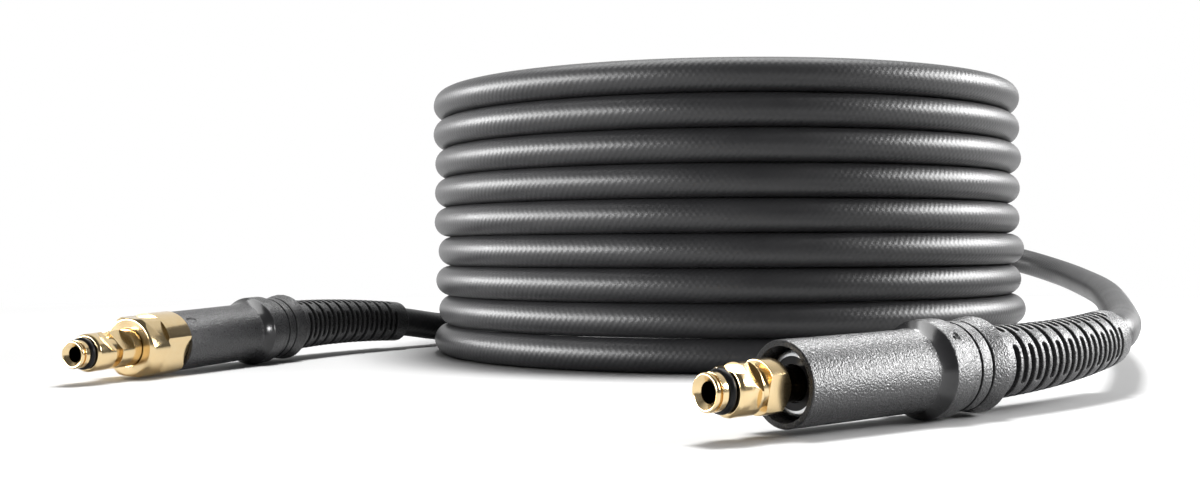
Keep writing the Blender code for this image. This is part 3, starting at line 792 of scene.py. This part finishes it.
def slotted_protector(name, fitting):
    columns = slot_columns()
    count = len(columns)
    shape = bmesh.new()

    def ring(places):
        made = []
        for angle, (radius, distance) in zip(columns, places):
            point = Vector((radius * cos(angle), radius * sin(angle), distance))
            made.append(shape.verts.new(fitting.bent(point)))
        return made

    def whole(radius, distance):
        return ring([(radius, distance)] * count)

    def join(first, second, wanted=None):
        for k in range(count):
            n = (k + 1) % count
            if wanted is None or wanted[k] or wanted[n]:
                shape.faces.new((first[k], first[n], second[n], second[k]))

    bore = HOSE_DIAMETER / 2 + CLEARANCE
    first = FLANGE_START + FLANGE_WIDTH + CLEARANCE
    neck_end = first + NECK_LENGTH
    middle = first + NECK_LENGTH / 2
    groove = NECK_RADIUS - NECK_GROOVE_DEPTH
    half_groove = NECK_GROOVE_WIDTH / 2
    front = first - SPIGOT_LENGTH
    profile = softened(
        [
            (bore, front, 0.0),
            (SPIGOT_RADIUS, front, 0.0003),
            (SPIGOT_RADIUS, first, 0.0),
            (NECK_RADIUS, first, 0.0004),
            (NECK_RADIUS, middle - half_groove, 0.0002),
            (groove, middle - half_groove, 0.0),
            (groove, middle + half_groove, 0.0),
            (NECK_RADIUS, middle + half_groove, 0.0002),
            (NECK_RADIUS, neck_end, 0.0002),
            (groove, neck_end, 0.0),
            (groove, neck_end + NECK_GROOVE_WIDTH, 0.0),
            (NECK_RADIUS, neck_end + NECK_GROOVE_WIDTH, 0.0003),
            (COLLAR_RADIUS, COLLAR_END - 0.0006, 0.0004),
            (COLLAR_RADIUS, COLLAR_END, 0.0003),
            (protector_radius(COLLAR_END), COLLAR_END, 0.0002),
            (protector_radius(BEND_START), BEND_START, 0.0),
        ],
        False,
    )
    rings = [whole(radius, distance) for radius, distance in profile]
    for a, b in zip(rings, rings[1:]):
        join(a, b)
    outer = rings[-1]
    inner = whole(bore, BEND_START)
    join(inner, rings[0])
    for number in range(SLOT_COUNT):
        middle = BEND_START + (number + 0.5) * SLOT_PITCH
        radius = protector_radius(middle)
        web_angle = 3 * pi / 4 if number % 2 else pi / 4
        halves = [slot_opening(angle, middle, web_angle) for angle in columns]
        wide = [half > 0 for half in halves]
        edges = []
        for way in (-1, 1):
            rows = []
            for step in range(SLOT_EDGE_ROWS):
                tilt = pi / 2 * step / (SLOT_EDGE_ROWS - 1)
                places = []
                for half in halves:
                    edge = min(SLOT_ROUNDING, half)
                    places.append(
                        (radius - edge * (1 - cos(tilt)), middle + way * (half + edge * (1 - sin(tilt))))
                    )
                rows.append(ring(places))
            rows.append(ring([(bore, middle + way * half) for half in halves]))
            edges.append(rows)
        before, after = edges
        join(outer, before[0])
        for a, b in zip(before, before[1:]):
            join(a, b, wide)
        join(before[-1], inner)
        for a, b in zip(after, after[1:]):
            join(b, a, wide)
        outer, inner = after[0], after[-1]
    last = protector_radius(PROTECTOR_END)
    ending = softened(
        [
            (protector_radius(PROTECTOR_END - END_RING_LENGTH), PROTECTOR_END - END_RING_LENGTH, 0.0),
            (last, PROTECTOR_END, END_RING_EDGE),
            (bore, PROTECTOR_END, 0.0003),
            (bore, PROTECTOR_END - END_RING_LENGTH, 0.0),
        ],
        False,
    )
    for radius, distance in ending[1:-1]:
        following = whole(radius, distance)
        join(outer, following)
        outer = following
    join(outer, inner)
    bmesh.ops.remove_doubles(shape, verts=shape.verts, dist=1e-7)
    bmesh.ops.dissolve_degenerate(shape, edges=shape.edges, dist=1e-8)
    bmesh.ops.recalc_face_normals(shape, faces=shape.faces)
    mesh = bpy.data.meshes.new(name)
    shape.to_mesh(mesh)
    shape.free()
    mesh.shade_smooth()
    mesh.set_sharp_from_angle(angle=SLOTTED_EDGE)
    item = bpy.data.objects.new(name, mesh)
    item.matrix_world = fitting.frame
    bpy.context.scene.collection.objects.link(item)
    return item


for fitting in FITTINGS:
    protector = slotted_protector(f"slotted_protector_{fitting.side}", fitting)
    protector.data.materials.append(plastic.material)
    plastic_lit.objects.link(protector)
    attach(protector, "root")
    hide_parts(f"bend_protector_{fitting.side}")

# The plug nipples: turned and milled brass, each with a seal's groove behind its tip, then latch cuts.
# The right one has a collar with two wrench flats, and the left one a long body screwed into the union.

TIP_RADIUS = 0.0049
BORE_RADIUS = 0.0026
BORE_DEPTH = 0.0120
LIP_LENGTH = 0.0037
LIP_GROOVE_DEPTH = 0.0009
SEAL_GROOVE_LENGTH = 0.0024
SEAL_GROOVE_RADIUS = 0.0036
BODY_RADIUS = 0.0067
BODY_CHAMFER = 0.0007
BODY_START = LIP_LENGTH + SEAL_GROOVE_LENGTH
LATCH_GROOVE_LENGTH = 0.0030
LATCH_GROOVE_RADIUS = 0.0046
NECK_GAP_LENGTH = 0.0030
NECK_GAP_RADIUS = 0.0050
NIPPLE_SIDES = 128
RIGHT_NIPPLE_LENGTH = 0.0252
RIGHT_BODY_LENGTH = 0.0073
WRENCH_COLLAR_LENGTH = 0.0072
WRENCH_COLLAR_RADIUS = 0.0070
WRENCH_COLLAR_CHAMFER = 0.0018
WRENCH_FLATS = 0.0102
WRENCH_FLATS_TURN = radians(104)
LEFT_BODY_LENGTH = 0.0221
LEFT_LATCH_AT = 0.0084
UNION_LENGTH = 0.0212
UNION_RECESS = 0.0015
UNION_FRONT = UNION_OVER_SLEEVE - UNION_LENGTH
BRASS_COLOR = (0.86, 0.67, 0.38)
TARNISHED_BRASS = (0.76, 0.56, 0.29)
CLEAN_BRASS = (0.85, 0.68, 0.41)
# A dark brown of painted shade for the bore, and for the stem from this distance back
RECESS_SHADE = (0.05, 0.03, 0.012)
SHADE_START = -0.0015
TOOL_MARK_SCALE = 9000.0
TOOL_MARK_DEPTH = 0.00001
TARNISH_SCALE = 300.0
LATCH_FLAT = 0.0051
RAMP_LEAD = 0.0317
SIDE_FLAT = 0.0060
LEFT_FLAT = 0.00474
LEFT_FLAT_LENGTH = 0.0105
LEFT_RAMP_LEAD = 0.02
CUTTER_DEPTH = 0.01


def nipple_front():
    """The turned front of a plug nipple, from its bore to the start of its body."""
    return [
        (0.0, BORE_DEPTH, 0.0),
        (BORE_RADIUS, BORE_DEPTH, 0.0),
        (BORE_RADIUS, 0.0014, 0.0002),
        (TIP_RADIUS - 0.0008, 0.0001, 0.0003),
        (TIP_RADIUS - 0.0004, 0.0, 0.0003),
        (TIP_RADIUS, 0.0004, 0.0004),
        (TIP_RADIUS, 0.0010, 0.0002),
        (TIP_RADIUS - LIP_GROOVE_DEPTH, 0.0012, 0.0002),
        (TIP_RADIUS - LIP_GROOVE_DEPTH, 0.0017, 0.0001),
        (TIP_RADIUS, 0.0018, 0.0001),
        (TIP_RADIUS, LIP_LENGTH, 0.0002),
        (SEAL_GROOVE_RADIUS, LIP_LENGTH, 0.0002),
        (SEAL_GROOVE_RADIUS, BODY_START, 0.0002),
        (BODY_RADIUS - BODY_CHAMFER, BODY_START, 0.0002),
        (BODY_RADIUS, BODY_START + BODY_CHAMFER, 0.0003),
    ]


def from_tip(outline, tip):
    return [(radius, tip + distance, fillet) for radius, distance, fillet in outline]


def milled(angle, near, start, end, lead=0.0, width=0.04):
    """A cutter that leaves a flat at this distance from the axis, facing this angle from the top.

    With a lead, the flat is reached by a ramp that starts that far before it.
    """
    far = near + CUTTER_DEPTH
    sides = [(near, start), (near, end), (far, end), (far, start - lead)]
    shape = bmesh.new()
    rows = []
    for across in (-width / 2, width / 2):
        rows.append([shape.verts.new((x, across, z)) for x, z in sides])
    for k in range(4):
        n = (k + 1) % 4
        shape.faces.new((rows[0][k], rows[0][n], rows[1][n], rows[1][k]))
    shape.faces.new(rows[0])
    shape.faces.new(rows[1])
    bmesh.ops.recalc_face_normals(shape, faces=shape.faces)
    bmesh.ops.rotate(shape, cent=(0, 0, 0), matrix=Matrix.Rotation(angle, 3, "Z"), verts=shape.verts)
    return shape


brass = Shading("machined_brass", BRASS_COLOR, 0.18, 1.0)
brass_place = brass.object_place()
separate = brass.nodes.new("ShaderNodeSeparateXYZ")
brass.links.new(brass_place, separate.inputs[0])
stretched = brass.nodes.new("ShaderNodeCombineXYZ")
brass.links.new(separate.outputs["Z"], stretched.inputs["Z"])
tool_marks = brass.noise(stretched.outputs[0], TOOL_MARK_SCALE, 2.0)
brass.bump(tool_marks, TOOL_MARK_DEPTH, 0.25)
tarnish = brass.noise(brass_place, TARNISH_SCALE, 4.0)
metal = brass.tint(tarnish, TARNISHED_BRASS, CLEAN_BRASS)
# Painted shade: the bore, and the stem inside the sleeve's mouth, are coloured dark brown
from_axis = brass.from_axis(brass_place)
stem = brass.math("LESS_THAN", from_axis, STEM_RADIUS + 0.0002)
stem = brass.math("MULTIPLY", stem, brass.math("GREATER_THAN", separate.outputs["Z"], SHADE_START))
painted_shade = brass.math("MAXIMUM", stem, brass.math("LESS_THAN", from_axis, BORE_RADIUS + 0.0001))
brass.tint(painted_shade, metal, RECESS_SHADE)
brass.feed(brass.shader.inputs["Roughness"], brass.between(tarnish, 0.12, 0.26))


def brass_piece(item, *nodes):
    item.data.materials.append(brass.material)
    left_lit.objects.link(item)
    shade_from_top(item)
    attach(item, "root")
    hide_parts(*nodes)


neck = BODY_START + RIGHT_BODY_LENGTH
collar = neck + NECK_GAP_LENGTH
collar_back = collar + WRENCH_COLLAR_LENGTH
stem_end = RIGHT.ferrule + FERRULE_FRONT + RIGHT_NIPPLE_LENGTH
right_nipple = turned(
    "machined_nipple_right",
    from_tip(
        [
            *nipple_front(),
            (BODY_RADIUS, neck, 0.0002),
            (NECK_GAP_RADIUS, neck, 0.0001),
            (NECK_GAP_RADIUS, collar, 0.0001),
            (WRENCH_COLLAR_RADIUS, collar, 0.0003),
            (WRENCH_COLLAR_RADIUS, collar_back - WRENCH_COLLAR_CHAMFER, 0.0006),
            (WRENCH_COLLAR_RADIUS - WRENCH_COLLAR_CHAMFER, collar_back, 0.0003),
            (STEM_RADIUS, collar_back, 0.0001),
            (STEM_RADIUS, stem_end, 0.0),
            (0.0, stem_end, 0.0),
        ],
        -RIGHT_NIPPLE_LENGTH,
    ),
    NIPPLE_SIDES,
    RIGHT,
)
flats = []
for way in (0, pi):
    angle = WRENCH_FLATS_TURN + way
    flats.append(milled(angle, WRENCH_FLATS / 2, neck + 0.0002 - RIGHT_NIPPLE_LENGTH, 0.0))
# A latch flat across the top, a ramp that falls toward the collar, and a small flat on one side
body = BODY_START - RIGHT_NIPPLE_LENGTH
flats.append(milled(radians(8), LATCH_FLAT, body - 0.0002, body + 0.0036))
flats.append(milled(radians(51), LATCH_FLAT, body + 0.0068, body + 0.0070, RAMP_LEAD))
flats.append(milled(radians(105), SIDE_FLAT, body + 0.0034, body + 0.0064))
recess(right_nipple, flats)
brass_piece(right_nipple, "plug_nipple_right")

left_tip = UNION_FRONT + UNION_RECESS - CLEARANCE - BODY_START - LEFT_BODY_LENGTH
latch = BODY_START + LEFT_LATCH_AT
body_end = BODY_START + LEFT_BODY_LENGTH
left_nipple = turned(
    "machined_nipple_left",
    from_tip(
        [
            *nipple_front(),
            (BODY_RADIUS, latch, 0.0001),
            (LATCH_GROOVE_RADIUS, latch + 0.0002, 0.0001),
            (LATCH_GROOVE_RADIUS, latch + LATCH_GROOVE_LENGTH, 0.0001),
            (BODY_RADIUS, latch + LATCH_GROOVE_LENGTH, 0.0001),
            (BODY_RADIUS, body_end, 0.0),
            (0.0, body_end, 0.0),
        ],
        left_tip,
    ),
    NIPPLE_SIDES,
    LEFT,
)
# One long flat with a ramp before it, milled across the latch groove
flat_start = left_tip + latch - 0.0020
flat_end = flat_start + LEFT_FLAT_LENGTH
recess(left_nipple, [milled(radians(42), LEFT_FLAT, flat_start, flat_end, LEFT_RAMP_LEAD)])
brass_piece(left_nipple, "plug_nipple_left")

# The seal rings: moulded black rubber rings, a little greasy.
# Each is stretched over its nipple's tip into the groove behind it.

SEAL_RADIUS = 0.00105
SEAL_SIDES = 96
SEAL_POINTS = 20
SPECK_SCALE = 1500.0
SPECK_DEPTH = 0.00003

seal_rubber = Shading("seal_rubber", (0.008, 0.008, 0.009), 0.35)
seal_speck = seal_rubber.noise(seal_rubber.object_place(), SPECK_SCALE, 3.0)
seal_rubber.bump(seal_speck, SPECK_DEPTH, 0.4)
seal_rubber.feed(seal_rubber.shader.inputs["Specular IOR Level"], 0.2)
seal_rubber.feed(seal_rubber.shader.inputs["Roughness"], seal_rubber.between(seal_speck, 0.28, 0.42))
for fitting, tip in ((LEFT, left_tip), (RIGHT, -RIGHT_NIPPLE_LENGTH)):
    middle = tip + LIP_LENGTH + SEAL_GROOVE_LENGTH / 2
    centre = SEAL_GROOVE_RADIUS + SEAL_RADIUS
    ring = []
    for k in range(SEAL_POINTS):
        turn = 2 * pi * k / SEAL_POINTS
        ring.append((centre + SEAL_RADIUS * cos(turn), middle + SEAL_RADIUS * sin(turn), 0.0))
    seal = turned(f"rubber_seal_{fitting.side}", ring, SEAL_SIDES, fitting)
    seal.data.materials.append(seal_rubber.material)
    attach(seal, "root")
    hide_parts(f"seal_ring_{fitting.side}")

# The union: a brass nut body on the left end, which seats on the sleeve's mouth.
# Six flats for a wrench end in a shoulder, and two more cross the round collar behind them.

UNION_RADIUS = 0.0116
UNION_FACE_RADIUS = 0.0102
UNION_CHAMFER = 0.0012
UNION_FLATS = 0.0210
UNION_FLATS_TURN = radians(4)
UNION_FLAT_LENGTH = 0.0091
UNION_BACK_FLATS = 0.0190
UNION_BACK_FLATS_TURN = radians(112)

spigot = SLEEVE_RADIUS - SLEEVE_WALL - CLEARANCE
spigot_end = LEFT.ferrule - CLEARANCE
stem_end = LEFT.ferrule + FERRULE_FRONT
recess_radius = BODY_RADIUS + CLEARANCE
union = turned(
    "brass_union",
    [
        (0.0, stem_end, 0.0),
        (STEM_RADIUS, stem_end, 0.0),
        (STEM_RADIUS, spigot_end, 0.0),
        (spigot, spigot_end, 0.0),
        (spigot, UNION_OVER_SLEEVE, 0.0),
        (UNION_RADIUS, UNION_OVER_SLEEVE, 0.0005),
        (UNION_RADIUS, UNION_FRONT + UNION_CHAMFER, 0.0004),
        (UNION_FACE_RADIUS, UNION_FRONT, 0.0003),
        (recess_radius, UNION_FRONT, 0.0002),
        (recess_radius, UNION_FRONT + UNION_RECESS, 0.0),
        (0.0, UNION_FRONT + UNION_RECESS, 0.0),
    ],
    NIPPLE_SIDES,
    LEFT,
)
flats_end = UNION_FRONT + UNION_FLAT_LENGTH
flats = []
for side in range(6):
    angle = UNION_FLATS_TURN + side * pi / 3
    flats.append(milled(angle, UNION_FLATS / 2, UNION_FRONT - 0.001, flats_end))
for way in (0, pi):
    angle = UNION_BACK_FLATS_TURN + way
    flats.append(milled(angle, UNION_BACK_FLATS / 2, flats_end, UNION_OVER_SLEEVE + 0.001))
recess(union, flats)
brass_piece(union, "union_left")
